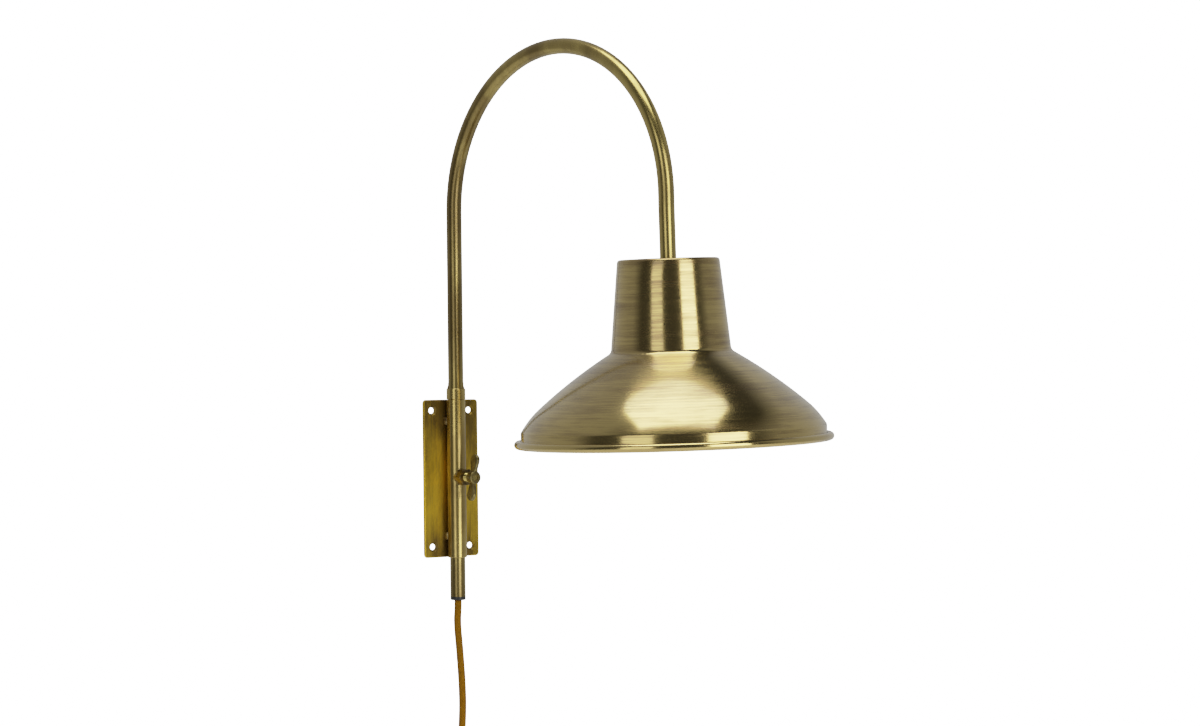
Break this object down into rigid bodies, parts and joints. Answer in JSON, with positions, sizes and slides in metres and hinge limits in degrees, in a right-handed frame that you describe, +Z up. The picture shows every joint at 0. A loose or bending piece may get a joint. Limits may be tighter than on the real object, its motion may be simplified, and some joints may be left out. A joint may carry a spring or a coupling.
{
  "type": "wall sconce",
  "caption": "Brass wall lamp with a swivelling, height-adjustable hooped tube arm, a wing-screw clamp and a hanging spun shade over a lampholder; flex with switch and plug.",
  "frame": {"origin": "centre of the wall plate's back face, which lies on the wall", "axes": "+Z up along the mast, +X to the right as one faces the wall, +Y into the wall; the arm reaches out along -Y"},
  "size_m": [0.2499, 0.3903, 0.7868],
  "materials": {
    "antique_brass": "antiqued, satin",
    "shade_brass": "antiqued, brushed round",
    "braze": "dull, slightly rough",
    "dark_bronze": "dark patina, satin",
    "bright_brass": "bare, worn bright",
    "zinc_steel": "zinc plated",
    "nickel": "nickel plated",
    "black_bakelite": "half gloss",
    "porcelain": "glazed",
    "black_nylon": "matt",
    "mustard_textile": "woven sleeve",
    "brown_silicone": "matt",
    "blue_silicone": "matt",
    "black_plastic": "fine grain",
    "pin_sleeve": "matt",
    "black_strap": "woven"
  },
  "bodies": {
    "wall_bracket": {"wall_plate": "antique_brass", "pivot_sleeve": "antique_brass", "sleeve_brazes": "braze", "clamp_nut": "dark_bronze", "nut_braze": "braze"},
    "clamp_screw": {"clamp_stud": "bright_brass"},
    "wing": {"wing_head": "dark_bronze"},
    "hanging_flex": {"cord_to_switch": "mustard_textile", "switch_front": "black_plastic", "switch_back": "black_plastic", "switch_screws": "zinc_steel", "cord_to_coil": "mustard_textile", "cord_coil": "mustard_textile", "cord_tie": "black_strap", "cord_to_plug": "mustard_textile", "plug_body": "black_plastic", "plug_pins": "nickel", "plug_pin_sleeves": "pin_sleeve"},
    "rocker": {"switch_rocker": "black_plastic"},
    "arm": {"arm_tube": "antique_brass", "stop_ring": "antique_brass", "ring_braze": "braze", "tail_bush": "black_nylon", "shade": "shade_brass", "end_nipple": "bright_brass", "shade_washer": "zinc_steel", "lock_nut": "zinc_steel", "holder_cap": "black_bakelite", "cap_grub_screw": "zinc_steel", "cord_grip": "black_nylon", "contact_block": "porcelain", "terminal_posts": "bright_brass", "terminal_screws": "zinc_steel", "thread_shell": "nickel", "centre_contact": "nickel", "side_contact": "nickel", "holder_skirt": "black_bakelite", "inner_cord": "mustard_textile", "live_core": "brown_silicone", "neutral_core": "blue_silicone"}
  },
  "joints": [
    {"name": "clamp_travel", "type": "slide", "parent": "wall_bracket", "child": "clamp_screw", "axis": [0, -1, 0], "range_m": [0, 0.00125]},
    {"name": "wing_turn", "type": "hinge", "parent": "clamp_screw", "child": "wing", "pos_m": [0, -0.00998, 0.0012], "axis": [0, -1, 0], "range_deg": [0, 360]},
    {"name": "arm_lift", "type": "slide", "parent": "wall_bracket", "child": "hanging_flex", "axis": [0, 0, 1], "range_m": [0, 0.03]},
    {"name": "arm_swivel", "type": "hinge", "parent": "hanging_flex", "child": "arm", "pos_m": [0, -0.00998, 0], "axis": [0, 0, 1], "range_deg": [-69.5, 56.5]},
    {"name": "switch_rock", "type": "hinge", "parent": "hanging_flex", "child": "rocker", "pos_m": [0.0009, -0.01648, -0.264], "axis": [1, 0, 0], "range_deg": [-16, 0]}
  ],
  "couplings": [
    {"joint": "clamp_travel", "follows": "wing_turn", "m_per_rad": 0.00019894}
  ]
}
